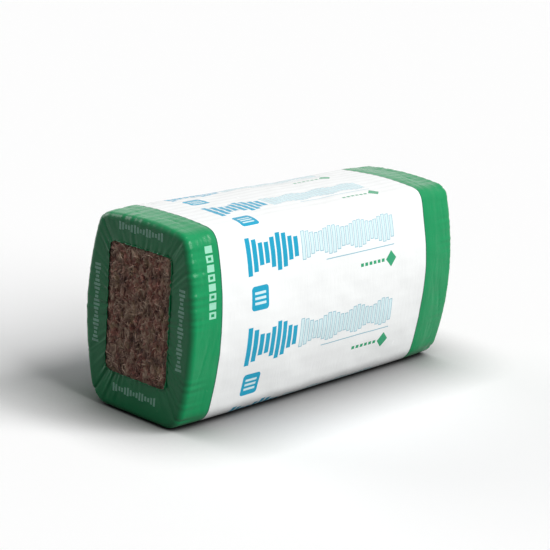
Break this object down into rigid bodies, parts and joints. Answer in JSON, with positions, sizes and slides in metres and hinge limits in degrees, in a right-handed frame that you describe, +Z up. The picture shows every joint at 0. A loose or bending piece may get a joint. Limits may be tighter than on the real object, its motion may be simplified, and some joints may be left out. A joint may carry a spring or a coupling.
{
  "type": "pack of acoustic insulation slabs",
  "caption": "Shrink-wrapped pack of pressed mineral wool slabs standing on edge, held by a printed film sleeve with an open window in each end.",
  "frame": {"origin": "on the floor, under the middle of the pack", "axes": "+X along the slabs, +Y through the stack, across the big bowed sides, +Z up"},
  "size_m": [1.231, 0.465, 0.6109],
  "materials": {
    "printed_film": "smooth shrunk polyethylene film, white with a green band round each end",
    "mineral_wool": "matt brown fibrous glass wool"
  },
  "bodies": {
    "root": {"film_sleeve": "printed_film", "slab_01": "mineral_wool", "slab_02": "mineral_wool", "slab_03": "mineral_wool", "slab_04": "mineral_wool", "slab_05": "mineral_wool", "slab_06": "mineral_wool", "slab_07": "mineral_wool", "slab_08": "mineral_wool", "slab_09": "mineral_wool", "slab_10": "mineral_wool", "slab_11": "mineral_wool", "slab_12": "mineral_wool", "slab_13": "mineral_wool", "slab_14": "mineral_wool", "slab_15": "mineral_wool", "slab_16": "mineral_wool"}
  },
  "joints": []
}
